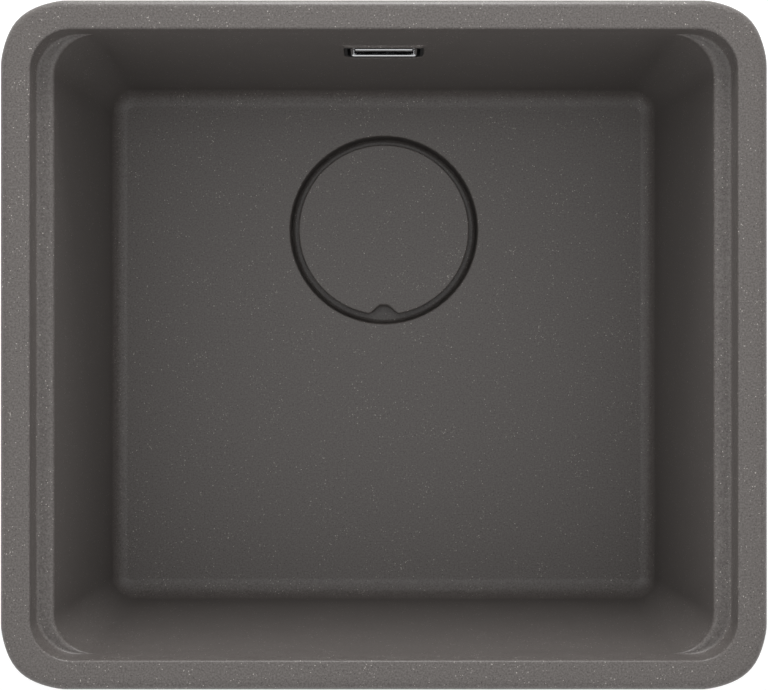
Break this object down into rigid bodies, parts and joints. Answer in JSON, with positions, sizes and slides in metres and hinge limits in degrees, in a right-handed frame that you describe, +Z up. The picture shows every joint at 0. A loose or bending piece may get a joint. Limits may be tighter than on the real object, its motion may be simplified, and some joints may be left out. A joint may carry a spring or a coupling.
{
  "type": "undermount kitchen sink",
  "caption": "Square granite-composite sink bowl that hangs under a worktop, with inner ledges, a covered strainer waste that lifts out and an overflow.",
  "frame": {"origin": "centre of the rim's top plane, which meets the underside of the worktop", "axes": "+Z up out of the bowl, +X to the right along the longer side, +Y to the back, where the overflow is"},
  "size_m": [0.458, 0.4279, 0.308],
  "materials": {
    "granite": "fine-grained moulded quartz composite, matte, with small pale flecks",
    "steel": "pressed and brushed stainless steel",
    "chrome": "polished chrome plate",
    "brass": "turned brass",
    "rubber": "black moulded rubber",
    "black_plastic": "black moulded polypropylene",
    "grey_plastic": "light grey moulded polypropylene"
  },
  "bodies": {
    "sink": {"bowl": "granite", "fixing_inserts": "brass", "waste_flange": "steel", "flange_gasket": "rubber", "body_gasket": "rubber", "waste_body": "grey_plastic", "centre_screw": "steel", "centre_nut": "brass", "overflow_trim": "chrome", "overflow_sleeve": "black_plastic", "overflow_gasket": "rubber", "overflow_head": "black_plastic", "overflow_hose": "grey_plastic", "hose_nut_upper": "grey_plastic", "hose_nut_lower": "grey_plastic", "hose_seals": "rubber"},
    "basket": {"strainer_basket": "steel", "basket_seal": "rubber", "basket_stem": "steel", "basket_clip": "steel"},
    "cover": {"drain_cover": "granite", "cover_feet": "rubber"}
  },
  "joints": [
    {"name": "basket_lift", "type": "slide", "parent": "sink", "child": "basket", "axis": [0, 0, 1], "range_m": [0, 0.27]},
    {"name": "cover_lift", "type": "slide", "parent": "basket", "child": "cover", "axis": [0, 0, 1], "range_m": [0, 0.22]}
  ]
}
